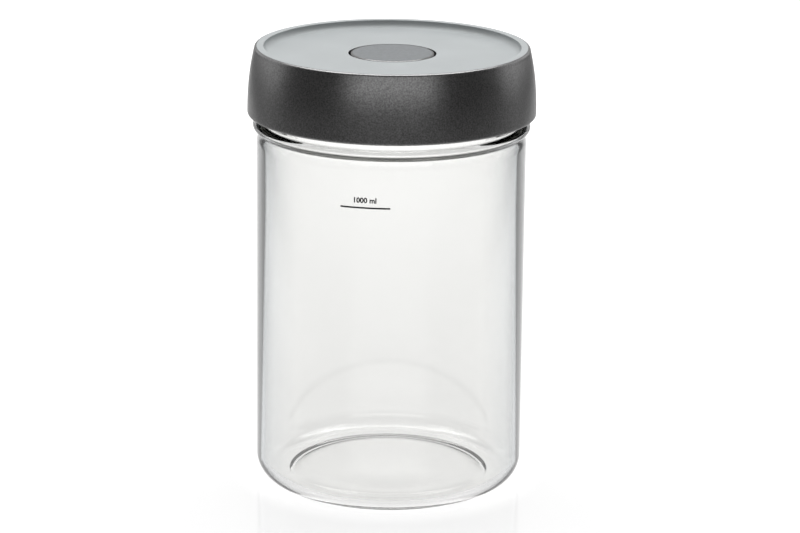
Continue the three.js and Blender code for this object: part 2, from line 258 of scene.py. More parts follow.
cameraData = bpy.data.cameras.new("camera")
cameraData.lens = view["lens"]
cameraData.sensor_width = view["sensor"]
camera = bpy.data.objects.new("camera", cameraData)
bpy.context.collection.objects.link(camera)
pitch, yaw = math.radians(view["pitchDeg"]), math.radians(view["yawDeg"])
ahead = Vector((math.sin(yaw) * math.cos(pitch), math.cos(yaw) * math.cos(pitch), -math.sin(pitch)))
camera.location = (0, -view["distance"], view["height"])
camera.rotation_euler = ahead.to_track_quat("-Z", "Y").to_euler()
camera.rotation_euler.rotate_axis("Z", math.radians(view["rollDeg"]))
bpy.context.scene.camera = camera
print("camera placed")


# materials

# soda-lime glass, blown in a mould: clear and slightly wavy, with painted shade where its wall turns away at
# the edges
glass = {"clear": "#f0f0ef", "turn": "#d5d7d8", "shade": "#999ea1", "edge": "#090a0a", "rim": "#323536",
         "ior": 1.52, "waveMm": 26.0, "waveDepthMm": 0.02, "paintedShadeFrom": 52.8,
         "fadeLow": 4.0, "fadeHigh": 120.0, "paintedShadeLow": 0.88, "paintedShadeHigh": 1.06}
clearGlass, tree = newMaterial("sodaLimeGlass")
coords = addNode(tree, "ShaderNodeTexCoord")
waves = addNode(tree, "ShaderNodeTexNoise", inputs={
    "Vector": coords.outputs["Object"], "Scale": 1 / (glass["waveMm"] * mm), "Detail": 1.0})
wavy = addNode(tree, "ShaderNodeBump", inputs={
    "Height": waves.outputs["Fac"], "Strength": 1.0, "Distance": glass["waveDepthMm"] * mm})
surface = addNode(tree, "ShaderNodeNewGeometry")
split = addNode(tree, "ShaderNodeSeparateXYZ", inputs={"Vector": surface.outputs["Normal"]})
level = addNode(tree, "ShaderNodeMath", {"operation": "MULTIPLY"}, {
    0: split.outputs["Z"], 1: split.outputs["Z"]})
upright = addNode(tree, "ShaderNodeMath", {"operation": "SUBTRACT"}, {0: 1.0, 1: level.outputs[0]})
facing = addNode(tree, "ShaderNodeLayerWeight", inputs={"Blend": 0.5})
flat = addNode(tree, "ShaderNodeVectorMath", {"operation": "MULTIPLY"}, {
    0: coords.outputs["Object"], 1: (1, 1, 0)})
reach = addNode(tree, "ShaderNodeVectorMath", {"operation": "LENGTH"}, {0: flat.outputs["Vector"]})
outside = addNode(tree, "ShaderNodeMath", {"operation": "GREATER_THAN"}, {
    0: reach.outputs["Value"], 1: glass["paintedShadeFrom"] * mm})
height = addNode(tree, "ShaderNodeSeparateXYZ", inputs={"Vector": coords.outputs["Object"]})
paintedShadeByHeight = addNode(tree, "ShaderNodeMapRange", inputs={  # painted shade: the edge is paler towards the heel
    "Value": height.outputs["Z"], "From Min": glass["fadeLow"] * mm, "From Max": glass["fadeHigh"] * mm,
    "To Min": glass["paintedShadeLow"], "To Max": glass["paintedShadeHigh"]})
paintedShadeOutside = addNode(tree, "ShaderNodeMath", {"operation": "MULTIPLY"}, {
    0: outside.outputs[0], 1: paintedShadeByHeight.outputs["Result"]})
wall = addNode(tree, "ShaderNodeMath", {"operation": "MULTIPLY"}, {
    0: paintedShadeOutside.outputs[0], 1: upright.outputs[0]})
edge = addNode(tree, "ShaderNodeMath", {"operation": "MULTIPLY"}, {
    0: facing.outputs["Facing"], 1: wall.outputs[0]})
# painted shade: the turn, shade, edge and rim tones darken the outer wall where it turns away; only the clear
# tone is the glass's own
tone = addNode(tree, "ShaderNodeValToRGB", inputs={"Fac": edge.outputs[0]})
setRamp(tone, [(0.30, glass["clear"]), (0.50, glass["turn"]), (0.66, glass["shade"]),
               (0.70, glass["edge"]), (0.80, glass["edge"]), (1.0, glass["rim"])])
shader = addNode(tree, "ShaderNodeBsdfPrincipled", inputs={
    "Base Color": tone.outputs["Color"], "Roughness": 0.0, "IOR": glass["ior"],
    "Transmission Weight": 1.0, "Normal": wavy.outputs["Normal"]})
addNode(tree, "ShaderNodeOutputMaterial", inputs={"Surface": shader.outputs["BSDF"]})

# moulded ABS from a spark-eroded tool: dark, matt, with a fine glinting grain
grain = {"dark": "#080708", "light": "#252324", "grainMm": 0.6, "grainDepthMm": 0.016, "cloudMm": 9.0,
         "roughLow": 0.30, "roughHigh": 0.34, "ior": 1.85, "specular": 1.0, "flatSpecular": 0.12,
         "flatFrom": 0.50, "flatTo": 0.80, "sparkleLow": 0.7, "sparkleHigh": 1.3}
grainedAbs, tree = newMaterial("grainedAbs")
coords = addNode(tree, "ShaderNodeTexCoord")
grit = addNode(tree, "ShaderNodeTexNoise", inputs={  # real grit is about 0.2 mm, drawn coarser to show
    "Vector": coords.outputs["Object"], "Scale": 1 / (grain["grainMm"] * mm),
    "Detail": 3.0, "Roughness": 0.65})
clouds = addNode(tree, "ShaderNodeTexNoise", inputs={
    "Vector": coords.outputs["Object"], "Scale": 1 / (grain["cloudMm"] * mm), "Detail": 2.0})
tone = addNode(tree, "ShaderNodeValToRGB", inputs={"Fac": grit.outputs["Fac"]})
setRamp(tone, [(0.35, grain["dark"]), (0.68, grain["light"])])
gloss = addNode(tree, "ShaderNodeMapRange", inputs={
    "Value": clouds.outputs["Fac"], "From Min": 0.3, "From Max": 0.7,
    "To Min": grain["roughLow"], "To Max": grain["roughHigh"]})
bumps = addNode(tree, "ShaderNodeBump", inputs={
    "Height": grit.outputs["Fac"], "Strength": 1.0, "Distance": grain["grainDepthMm"] * mm})
facing = addNode(tree, "ShaderNodeLayerWeight", inputs={"Blend": 0.5})
glint = addNode(tree, "ShaderNodeMapRange", inputs={  # a grained wall loses its mirror at a flat angle
    "Value": facing.outputs["Facing"], "From Min": grain["flatFrom"], "From Max": grain["flatTo"],
    "To Min": grain["specular"], "To Max": grain["flatSpecular"]})
sparkle = addNode(tree, "ShaderNodeMapRange", inputs={  # the lighter grit glints more
    "Value": grit.outputs["Fac"], "From Min": 0.35, "From Max": 0.65,
    "To Min": grain["sparkleLow"], "To Max": grain["sparkleHigh"]})
shine = addNode(tree, "ShaderNodeMath", {"operation": "MULTIPLY"}, {
    0: glint.outputs["Result"], 1: sparkle.outputs["Result"]})
shader = addNode(tree, "ShaderNodeBsdfPrincipled", inputs={
    "Base Color": tone.outputs["Color"], "Roughness": gloss.outputs["Result"], "IOR": grain["ior"],
    "Specular IOR Level": shine.outputs[0], "Normal": bumps.outputs["Normal"]})
addNode(tree, "ShaderNodeOutputMaterial", inputs={"Surface": shader.outputs["BSDF"]})

# the same ABS from a satin tool, on the rim, the top plate and the inside: smoother, so it mirrors the light
# behind it; its pale grey tone is painted light on the dark ABS
satinPaintedLight = {"dark": "#8f9394", "light": "#95999a", "grainMm": 0.5, "grainDepthMm": 0.006, "cloudMm": 14.0,
         "roughLow": 0.46, "roughHigh": 0.52, "ior": 1.53, "specular": 0.35}
satinAbsPaintedLight, tree = newMaterial("satinAbsPaintedLight")
coords = addNode(tree, "ShaderNodeTexCoord")
grit = addNode(tree, "ShaderNodeTexNoise", inputs={
    "Vector": coords.outputs["Object"], "Scale": 1 / (satinPaintedLight["grainMm"] * mm), "Detail": 2.0})
clouds = addNode(tree, "ShaderNodeTexNoise", inputs={
    "Vector": coords.outputs["Object"], "Scale": 1 / (satinPaintedLight["cloudMm"] * mm), "Detail": 2.0})
tone = addNode(tree, "ShaderNodeValToRGB", inputs={"Fac": clouds.outputs["Fac"]})
setRamp(tone, [(0.3, satinPaintedLight["dark"]), (0.7, satinPaintedLight["light"])])
gloss = addNode(tree, "ShaderNodeMapRange", inputs={
    "Value": clouds.outputs["Fac"], "From Min": 0.3, "From Max": 0.7,
    "To Min": satinPaintedLight["roughLow"], "To Max": satinPaintedLight["roughHigh"]})
bumps = addNode(tree, "ShaderNodeBump", inputs={
    "Height": grit.outputs["Fac"], "Strength": 1.0, "Distance": satinPaintedLight["grainDepthMm"] * mm})
shader = addNode(tree, "ShaderNodeBsdfPrincipled", inputs={
    "Base Color": tone.outputs["Color"], "Roughness": gloss.outputs["Result"], "IOR": satinPaintedLight["ior"],
    "Specular IOR Level": satinPaintedLight["specular"], "Normal": bumps.outputs["Normal"]})
addNode(tree, "ShaderNodeOutputMaterial", inputs={"Surface": shader.outputs["BSDF"]})


def mouldedMaterial(name, style):  # a moulded polymer: two close tones in clouds, and a faint unevenness
    material, tree = newMaterial(name)
    coords = addNode(tree, "ShaderNodeTexCoord")
    cloud = addNode(tree, "ShaderNodeTexNoise", inputs={
        "Vector": coords.outputs["Object"], "Scale": 1 / (style["cloudMm"] * mm),
        "Detail": style["detail"], "Roughness": style["breakUp"]})
    tone = addNode(tree, "ShaderNodeValToRGB", inputs={"Fac": cloud.outputs["Fac"]})
    setRamp(tone, [(0.3, style["dark"]), (0.7, style["light"])])
    bumps = addNode(tree, "ShaderNodeBump", inputs={
        "Height": cloud.outputs["Fac"], "Strength": 1.0, "Distance": style["cloudDepthMm"] * mm})
    shader = addNode(tree, "ShaderNodeBsdfPrincipled", inputs={
        "Base Color": tone.outputs["Color"], "Roughness": style["roughness"], "IOR": style["ior"],
        "Specular IOR Level": style["specular"], "Normal": bumps.outputs["Normal"]})
    addNode(tree, "ShaderNodeOutputMaterial", inputs={"Surface": shader.outputs["BSDF"]})
    return material


# soft-touch polymer on the button: matt and faintly mottled
softTouch = mouldedMaterial("softTouchPolymer", {
    "dark": "#5f6264", "light": "#6b6e70", "cloudMm": 1.3, "cloudDepthMm": 0.03, "detail": 4.0,
    "breakUp": 0.6, "roughness": 0.55, "ior": 1.5, "specular": 0.3})

# black polypropylene, moulded: satin, with a faint flow pattern
blackPolypropylene = mouldedMaterial("blackPolypropylene", {
    "dark": "#1c1d1e", "light": "#262728", "cloudMm": 6.0, "cloudDepthMm": 0.01, "detail": 4.0,
    "breakUp": 0.5, "roughness": 0.42, "ior": 1.49, "specular": 0.5})

# uncoloured polypropylene, moulded: milky, with a faint flow pattern
naturalPolypropylene = mouldedMaterial("naturalPolypropylene", {
    "dark": "#c1c2bb", "light": "#cdcec7", "cloudMm": 6.0, "cloudDepthMm": 0.01, "detail": 4.0,
    "breakUp": 0.5, "roughness": 0.42, "ior": 1.49, "specular": 0.5})

# food-grade silicone, moulded: milky and matt
paleSilicone = mouldedMaterial("paleSilicone", {
    "dark": "#d3d4cf", "light": "#e2e3de", "cloudMm": 4.0, "cloudDepthMm": 0.01, "detail": 3.0,
    "breakUp": 0.5, "roughness": 0.55, "ior": 1.41, "specular": 0.5})

# drawn stainless wire: bright, with faint draw marks
wire = {"dark": "#a9acb0", "light": "#c9ccd0", "markMm": 0.4, "roughLow": 0.22, "roughHigh": 0.34}
springSteel, tree = newMaterial("drawnStainlessWire")
coords = addNode(tree, "ShaderNodeTexCoord")
marks = addNode(tree, "ShaderNodeTexNoise", inputs={
    "Vector": coords.outputs["Object"], "Scale": 1 / (wire["markMm"] * mm), "Detail": 2.0})
tone = addNode(tree, "ShaderNodeValToRGB", inputs={"Fac": marks.outputs["Fac"]})
setRamp(tone, [(0.3, wire["dark"]), (0.7, wire["light"])])
gloss = addNode(tree, "ShaderNodeMapRange", inputs={
    "Value": marks.outputs["Fac"], "From Min": 0.3, "From Max": 0.7,
    "To Min": wire["roughLow"], "To Max": wire["roughHigh"]})
shader = addNode(tree, "ShaderNodeBsdfPrincipled", inputs={
    "Base Color": tone.outputs["Color"], "Roughness": gloss.outputs["Result"], "Metallic": 1.0})
addNode(tree, "ShaderNodeOutputMaterial", inputs={"Surface": shader.outputs["BSDF"]})

# black ceramic ink, screen printed and fired on: matt, with tiny pinholes of lighter tone
ink = {"dark": "#0b0b0c", "light": "#161617", "speckMm": 0.3, "roughness": 0.6, "ior": 1.5}
ceramicInk, tree = newMaterial("ceramicInk")
coords = addNode(tree, "ShaderNodeTexCoord")
specks = addNode(tree, "ShaderNodeTexNoise", inputs={
    "Vector": coords.outputs["Object"], "Scale": 1 / (ink["speckMm"] * mm), "Detail": 2.0})
tone = addNode(tree, "ShaderNodeValToRGB", inputs={"Fac": specks.outputs["Fac"]})
setRamp(tone, [(0.4, ink["dark"]), (0.8, ink["light"])])
shader = addNode(tree, "ShaderNodeBsdfPrincipled", inputs={
    "Base Color": tone.outputs["Color"], "Roughness": ink["roughness"], "IOR": ink["ior"]})
addNode(tree, "ShaderNodeOutputMaterial", inputs={"Surface": shader.outputs["BSDF"]})
print("materials made")


# screw thread, shared by the jar's neck and the lid's liner
thread = {"starts": 4, "rise": 7.333, "spanDeg": 110, "depth": 1.1, "runOut": 0.14}


def threadBulge(angle, z, low, base, crest):  # 0 to 1, how much of a ridge is here
    most = 0.0
    for k in range(thread["starts"]):
        turn = (angle - 2 * math.pi * k / thread["starts"]) % (2 * math.pi)
        share = turn / math.radians(thread["spanDeg"])
        if share > 1:
            continue
        off = abs(z - low - thread["rise"] * share)
        flank = min(1, max(0, (base / 2 - off) / (base / 2 - crest / 2)))
        fade = min(1, share / thread["runOut"], (1 - share) / thread["runOut"])
        most = max(most, flank * flank * (3 - 2 * flank) * fade * fade * (3 - 2 * fade))
    return most


# glass jar
jar = {"radius": 54.3, "wall": 3.0, "heel": 9.5, "innerHeel": 6.6, "floor": 3.3, "rise": 1.0,
       "riseFlank": 1.5, "punt": 1.4, "puntFlank": 10, "ring": 4.0,
       "beadHeight": 148.2, "beadRadius": 55.8, "beadRise": 1.2, "beadDrop": 2.2,
       "waist": 53.8, "waistDrop": 5.0, "waistEnd": 0.3, "neck": 51.9, "neckCorner": 0.5,
       "neckFrom": 0.9, "neckTo": 1.7, "shoulderRise": 4.6, "shoulderDrop": 9.0,
       "threadLow": 159.45, "ridgeBase": 2.6, "ridgeCrest": 1.6, "ridgesFrom": 0.8, "sides": 256}
beadLow = jar["beadHeight"] - jar["beadDrop"]
beadTop = jar["beadHeight"] + jar["beadRise"]


def beadHalf(root, reach, fromDeg, toDeg):  # the bead's rounded section, above or below its widest point
    return [(root + across * (jar["beadRadius"] - root), jar["beadHeight"] + up * reach)
            for across, up in arc(0, 0, 1, fromDeg, toDeg, 12)]


def jarOutline():
    lip = boxMm("glass_jar")[1].z
    ringOuter = jar["radius"] - jar["heel"]
    ringInner = ringOuter - jar["ring"]
    inner = jar["radius"] - jar["wall"]
    neckInner = jar["neck"] - jar["wall"]
    floorEdge = inner - jar["innerHeel"]
    lowShares = [1 - (1 - i / 24) ** 2 for i in range(24)]  # closer together near the standing ring
    hollow = [(ringInner * s, jar["punt"] * (1 - s ** jar["puntFlank"])) for s in lowShares]
    heel = arc(ringOuter, jar["heel"], jar["heel"], -90, 0, 16)
    waistStart = (jar["radius"], beadLow - jar["waistDrop"])
    waist = easeRun(waistStart, (jar["waist"], beadLow - jar["waistEnd"]), 12)
    under = beadHalf(jar["waist"], jar["beadDrop"], -80, 0)
    over = beadHalf(jar["neck"], jar["beadRise"], 0, 84)[1:]
    turnIn = jar["neckCorner"]
    corner = arc(jar["neck"] + turnIn, beadTop + turnIn, turnIn, 240, 180, 4)
    neckLow, neckHigh = beadTop + jar["neckFrom"], lip - jar["neckTo"]
    neckRows = [(jar["neck"], neckLow + (neckHigh - neckLow) * i / 64) for i in range(65)]
    half = jar["wall"] / 2
    lipRound = arc(jar["neck"] - half, lip - half, half, 0, 180, 16)
    shoulderLow = (inner, beadTop - jar["shoulderDrop"])
    shoulder = easeRun((neckInner, beadTop + jar["shoulderRise"]), shoulderLow, 20)
    innerHeel = arc(floorEdge, jar["floor"] + jar["innerHeel"], jar["innerHeel"], 0, -90, 14)
    shares = [i / 16 for i in reversed(range(16))]
    floor = [(floorEdge * s, jar["floor"] + jar["rise"] * (1 - s * s) ** jar["riseFlank"]) for s in shares]
    outside = [*hollow, (ringInner, 0), *heel, *waist, *under, *over, *corner, *neckRows]
    return [*outside, *lipRound, *shoulder, *innerHeel, *floor]


def jarBulge(angle, r, z):
    if abs(r - jar["neck"]) > 0.01 or z < beadTop + jar["ridgesFrom"]:
        return 0
    return thread["depth"] * threadBulge(angle, z, jar["threadLow"], jar["ridgeBase"], jar["ridgeCrest"])


glassJar = revolve("glass_jar_blown", jarOutline(), jar["sides"], clearGlass,
                   closed=False, bulge=jarBulge, sharpDeg=50)
place(glassJar, "jar", "clear_glass", "glass_jar")
print("glass jar made")


# fill mark: a printed line with a plain number above it, wrapped on the glass
mark = {"height": 127.0, "leftDeg": -21.1, "rightDeg": -0.2, "lineMm": 0.65, "proudMm": 0.03, "sunkMm": 0.008,
        "words": "1000 ml", "capMm": 2.0, "sizePerCap": 1.45, "boldMm": 0.1, "wordsDeg": -10.8, "gapMm": 1.7,
        "steps": 48}


def wrapOnGlass(x, z, proud):  # x in mm along the surface, to the right of the front
    angle = x / jar["radius"]
    out = (jar["radius"] + proud) * mm
    return Vector((out * math.sin(angle), -out * math.cos(angle), z * mm))


def addMarkLine(mesh):
    left, right = [math.radians(mark[key]) * jar["radius"] for key in ("leftDeg", "rightDeg")]
    for proud in (mark["sunkMm"], mark["proudMm"]):
        rows = []
        for i in range(mark["steps"] + 1):
            x = left + (right - left) * i / mark["steps"]
            rows.append([mesh.verts.new(wrapOnGlass(x, mark["height"] + side * mark["lineMm"] / 2, proud))
                         for side in (-1, 1)])
        for here, there in zip(rows, rows[1:]):
            mesh.faces.new((here[0], there[0], there[1], here[1]))
    edges = [e for e in mesh.edges if e.is_boundary]
    bmesh.ops.bridge_loops(mesh, edges=edges)
    bmesh.ops.recalc_face_normals(mesh, faces=mesh.faces[:])


def addMarkWords(mesh):
    text = bpy.data.curves.new("fillWords", "FONT")
    text.body = mark["words"]
    text.size = mark["capMm"] * mark["sizePerCap"]
    text.align_x = "CENTER"
    text.extrude = (mark["proudMm"] - mark["sunkMm"]) / 2
    text.offset = mark["boldMm"]
    text.resolution_u = 4
    words = bpy.data.objects.new("fillWords", text)
    bpy.context.collection.objects.link(words)
    bpy.context.view_layer.update()
    letters = bmesh.new()
    letters.from_mesh(words.to_mesh())
    words.to_mesh_clear()
    bmesh.ops.remove_doubles(letters, verts=letters.verts[:], dist=1e-5)
    centre = math.radians(mark["wordsDeg"]) * jar["radius"]
    base = mark["height"] + mark["lineMm"] / 2 + mark["gapMm"]
    middle = (mark["proudMm"] + mark["sunkMm"]) / 2
    for vert in letters.verts:
        vert.co = wrapOnGlass(centre + vert.co.x, base + vert.co.y, middle + vert.co.z)
    bmesh.ops.recalc_face_normals(letters, faces=letters.faces[:])
    loose = bpy.data.meshes.new("fillLetters")
    letters.to_mesh(loose)
    letters.free()
    mesh.from_mesh(loose)
    bpy.data.meshes.remove(loose)
    bpy.data.objects.remove(words)
    bpy.data.curves.remove(text)


mesh = bmesh.new()
addMarkLine(mesh)
addMarkWords(mesh)
fillMark = finishMesh("fill_mark", mesh, [ceramicInk], 30)
place(fillMark, "jar", "black_plastic")
print("fill mark made")


# lid cover
cover = {"wall": 1.3, "plate": 2.4, "flare": 3.0, "barrel": 2.3, "rimWidth": 3.55, "rimRound": 1.0,
         "rimInRound": 0.25, "edgeRound": 0.8, "fillet": 2.5, "recess": 3.0, "hole": 17.55, "holeRound": 0.3,
         "holeMargin": 0.05, "snapTop": 154.2, "snapProud": 0.9, "sides": 256}
coverLow, coverHigh = boxMm("lid_cover")


def skirtRadius(z):
    share = (z - coverLow.z) / (coverHigh.z - coverLow.z)
    return coverHigh.x - cover["flare"] * max(share, 0) ** cover["barrel"]


def skirtRun(fromZ, toZ, inset, steps):
    heights = [fromZ + (toZ - fromZ) * i / steps for i in range(steps + 1)]
    return [(skirtRadius(z) - inset, z) for z in heights]


def coverOutline():
    bottom, top = coverLow.z, coverHigh.z
    plate = top - cover["recess"]
    recess = skirtRadius(top) - cover["rimWidth"]
    edgeRound, rimRound, inRound = cover["edgeRound"], cover["rimRound"], cover["rimInRound"]
    outside = skirtRun(bottom + edgeRound, top - rimRound, 0, 28)
    edge = arc(outside[0][0] - edgeRound, bottom + edgeRound, edgeRound, -90, 0, 6)
    rimEdge = arc(outside[-1][0] - rimRound, top - rimRound, rimRound, 0, 90, 6)
    inEdge = arc(recess + inRound, top - inRound, inRound, 90, 180, 4)
    fillet = arc(recess - cover["fillet"], plate + cover["fillet"], cover["fillet"], 0, -90, 14)
    holeRound = cover["holeRound"]
    holeEdge = arc(cover["hole"] + holeRound, plate - holeRound, holeRound, 90, 180, 5)
    under = plate - cover["plate"]
    inside = skirtRun(under, cover["snapTop"], cover["wall"], 16)
    root = inside[-1][0]
    snap = [(root - cover["snapProud"], cover["snapTop"]), (root, (bottom + cover["snapTop"]) / 2),
            (root, bottom)]
    shown = [*edge, *outside[1:], *rimEdge[1:], *inEdge, *fillet, *holeEdge]
    return [*shown, (cover["hole"], under), *inside, *snap]


lidCover = revolve("lid_cover_shell", coverOutline(), cover["sides"], grainedAbs)
lidCover.data.materials.append(satinAbsPaintedLight)
rimFlat = skirtRadius(coverHigh.z - cover["rimRound"]) - cover["rimRound"]
# the other faces take the satin ABS, painted pale grey as painted light
for face in lidCover.data.polygons:  # the grain is on the skirt's outside and in the button's hole
    centre = face.center / mm
    reach = math.hypot(centre.x, centre.y)
    onSkirt = reach > max(rimFlat, skirtRadius(centre.z) - cover["edgeRound"])
    inHole = reach < cover["hole"] + cover["holeMargin"]
    face.material_index = 0 if onSkirt or inHole else 1
place(lidCover, "lid", "anthracite_plastic", "lid_cover")
print("lid cover made")


# valve button
button = {"radius": 16.8, "thick": 2.6, "round": 0.6, "chamfer": 0.3, "paintedShadowRing": 0.8, "sides": 192,
          "legInner": 6.3, "legOuter": 7.5, "hookInner": 5.4, "hook": 1.1, "legWidth": 4.0, "legs": 4}
low, high = boxMm("valve_button")
under = high.z - button["thick"]
topEdge = arc(button["radius"] - button["round"], high.z - button["round"], button["round"], 0, 90, 8)
disc = [(0, under), (button["radius"] - button["chamfer"], under),
        (button["radius"], under + button["chamfer"]), *topEdge, (0, high.z)]
valveButton = revolve("valve_button_disc", disc, button["sides"], softTouch, closed=False)
valveButton.data.materials.append(grainedAbs)
for face in valveButton.data.polygons:  # painted shadow: the dark grained ABS on the edge and side stands for the shade in the gap round the button
    reach = math.hypot(face.center.x, face.center.y) / mm
    face.material_index = 1 if reach > button["radius"] - button["paintedShadowRing"] else 0
place(valveButton, "valve", "button_plastic", "valve_button")
rootZ = under + button["thick"] / 2
hookTop = low.z + button["hook"]
legOutline = [(button["hookInner"], low.z), (button["legOuter"], low.z), (button["legOuter"], rootZ),
              (button["legInner"], rootZ), (button["legInner"], hookTop), (button["hookInner"], hookTop)]
buttonLegs = radialPrism("valve_button_legs", legOutline, button["legWidth"], softTouch)
applyTree(buttonLegs, copiesTree, {"count": button["legs"], "finish": softTouch})
place(buttonLegs, "valve", "button_plastic", "valve_button")
print("button made")


# thread liner: threaded wall, ceiling with a gasket groove, and the valve's well
liner = {"inner": 53.4, "outer": 54.6, "bottom": 154.3, "ceiling": 172.783, "bore": 6.3, "wellInner": 18.25,
         "wellOuter": 19.75, "wellUnder": 165.083, "wellFloor": 1.8, "ribInner": 46.0, "ribOuter": 47.4,
         "ribDrop": 1.6, "edge": 0.35, "innerCorner": 0.1, "threadTop": 1.0, "threadFoot": 0.6,
         "threadLow": 157.0, "ridgeBase": 2.2, "ridgeCrest": 1.4, "ribs": 16, "ribThick": 1.4,
         "ribInset": 1.6, "sides": 240}
linerHigh = boxMm("thread_liner")[1]


def linerBulge(angle, r, z):
    if abs(r - liner["inner"]) > 0.01:
        return 0
    ridge = threadBulge(angle, z, liner["threadLow"], liner["ridgeBase"], liner["ridgeCrest"])
    return -thread["depth"] * ridge


def linerOutline():
    edge, tight = liner["edge"], liner["innerCorner"]
    floor = liner["wellUnder"] + liner["wellFloor"]
    ceiling = liner["ceiling"]
    tip = ceiling - liner["ribDrop"]
    rowsTop, rowsLow = ceiling - liner["threadTop"], liner["bottom"] + liner["threadFoot"]
    threadRows = [(liner["inner"], rowsTop - (rowsTop - rowsLow) * i / 60, 0) for i in range(61)]
    return roundCorners([
        (liner["bore"], liner["wellUnder"], edge), (liner["wellOuter"], liner["wellUnder"], edge),
        (liner["wellOuter"], ceiling, edge), (liner["ribInner"], ceiling, edge),
        (liner["ribInner"], tip, edge), (liner["ribOuter"], tip, edge),
        (liner["ribOuter"], ceiling, tight), (liner["inner"], ceiling, tight), *threadRows,
        (liner["inner"], liner["bottom"], edge), (liner["outer"], liner["bottom"], edge),
        (liner["outer"], linerHigh.z, edge), (liner["wellInner"], linerHigh.z, edge),
        (liner["wellInner"], floor, edge), (liner["bore"], floor, edge)])


threadLiner = revolve("thread_liner_cap", linerOutline(), liner["sides"], naturalPolypropylene,
                      bulge=linerBulge, sharpDeg=50)
place(threadLiner, "lid", "natural_plastic", "thread_liner")
ribFoot = (liner["inner"] + liner["outer"]) / 2
ribRun = skirtRun(liner["bottom"], linerHigh.z, liner["ribInset"], 10)
ribOutline = [(ribFoot, liner["bottom"]), *ribRun, (ribFoot, linerHigh.z)]
linerRibs = radialPrism("thread_liner_ribs", ribOutline, liner["ribThick"], naturalPolypropylene)
applyTree(linerRibs, copiesTree, {"count": liner["ribs"], "finish": naturalPolypropylene})
place(linerRibs, "lid", "natural_plastic", "thread_liner")
print("thread liner made")


# valve stem: foot, tube and a head with gas ports
stem = {"radius": 5.0, "bore": 3.5, "head": 6.0, "headThick": 1.4, "foot": 9.5, "footThick": 1.4, "hole": 1.1,
        "edge": 0.3, "holeEdge": 0.1, "ports": 6, "portCircle": 2.3, "portRadius": 0.75, "sides": 96}
low, high = boxMm("valve_stem")
headUnder = high.z - stem["headThick"]
footTop = low.z + stem["footThick"]
edge, tight = stem["edge"], stem["holeEdge"]
stemOutline = roundCorners([
    (stem["bore"], low.z, edge), (stem["foot"], low.z, edge), (stem["foot"], footTop, edge),
    (stem["radius"], footTop, edge), (stem["radius"], headUnder, edge), (stem["head"], headUnder, edge),
    (stem["head"], high.z, edge), (stem["hole"], high.z, tight), (stem["hole"], headUnder, tight),
    (stem["bore"], headUnder, edge)])
valveStem = revolve("valve_stem_plunger", stemOutline, stem["sides"], blackPolypropylene)
mesh = bmesh.new()
bmesh.ops.create_cone(mesh, cap_ends=True, segments=32, radius1=stem["portRadius"] * mm,
                      radius2=stem["portRadius"] * mm, depth=2 * stem["headThick"] * mm)
portPlace = Vector((stem["portCircle"], 0, (headUnder + high.z) / 2)) * mm
bmesh.ops.translate(mesh, verts=mesh.verts[:], vec=portPlace)
drills = finishMesh("portDrills", mesh, [blackPolypropylene])
applyTree(drills, copiesTree, {"count": stem["ports"], "finish": blackPolypropylene})
drilling = valveStem.modifiers.new("ports", "BOOLEAN")
drilling.object = drills
drilling.solver = "EXACT"
settle(valveStem, drilling)
bpy.data.objects.remove(drills)
valveStem.data.set_sharp_from_angle(angle=math.radians(40))
place(valveStem, "valve", "black_plastic", "valve_stem")
print("valve stem made")


# one-way valve: a thin dome over the ports, on a stem with a bulb
umbrella = {"dome": 4.6, "rim": 0.4, "chamfer": 0.15, "stem": 1.0, "bulb": 1.7, "bulbLong": 1.6,
            "domeHigh": 1.2, "sides": 96}
low, high = boxMm("umbrella_valve")
bulbHalf = umbrella["bulbLong"] / 2
bulb = [(umbrella["bulb"] * c, low.z + bulbHalf + bulbHalf * s) for c, s in arc(0, 0, 1, -90, 53, 12)]
domeLow = high.z - umbrella["domeHigh"]
rimTop = domeLow + umbrella["rim"]
crown = [(umbrella["dome"] * c, rimTop + (high.z - rimTop) * s) for c, s in arc(0, 0, 1, 0, 90, 14)]
umbrellaValve = revolve("umbrella_valve_dome", [
    (0, low.z), *bulb[1:], (umbrella["stem"], low.z + umbrella["bulbLong"]), (umbrella["stem"], domeLow),
    (umbrella["dome"] - umbrella["chamfer"], domeLow), (umbrella["dome"], domeLow + umbrella["chamfer"]),
    *crown[:-1], (0, high.z)], umbrella["sides"], paleSilicone, closed=False)
place(umbrellaValve, "valve", "pale_silicone", "umbrella_valve")


# return spring
spring = {"turns": 3.5, "radius": 8.81, "wire": 0.9, "travel": 2.5}
low, high = boxMm("return_spring")
returnSpring = finishMesh("return_spring_coil", bmesh.new(), [springSteel])
applyTree(returnSpring, springTree, {
    "turns": spring["turns"], "radius": spring["radius"] * mm, "wire": spring["wire"] / 2 * mm,
    "low": (low.z + spring["wire"] / 2) * mm, "rise": (high.z - low.z - spring["wire"]) * mm,
    "finish": springSteel})
returnSpring.data.shade_smooth()
returnSpring.data.set_sharp_from_angle(angle=math.radians(50))
place(returnSpring, "lid", "spring_steel", "return_spring")
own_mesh(returnSpring)
print("valve and spring made")


# lid gasket and foot seal, both moulded in silicone
def sealRing(node, style):
    low, high = boxMm(node)
    inner, edge = style["inner"], style["edge"]
    corners = [(inner, low.z, edge), (high.x, low.z, edge), (high.x, high.z, edge), (inner, high.z, edge)]
    return revolve(node + "_moulded", roundCorners(corners), style["sides"], paleSilicone, sharpDeg=60)


gasket = {"inner": 47.7, "edge": 0.4, "sides": 192}
place(sealRing("lid_gasket", gasket), "seal_ring", "pale_silicone", "lid_gasket")
footSeal = {"inner": 5.1, "edge": 0.35, "sides": 128}
place(sealRing("foot_seal", footSeal), "valve", "pale_silicone", "foot_seal")
print("seals made")
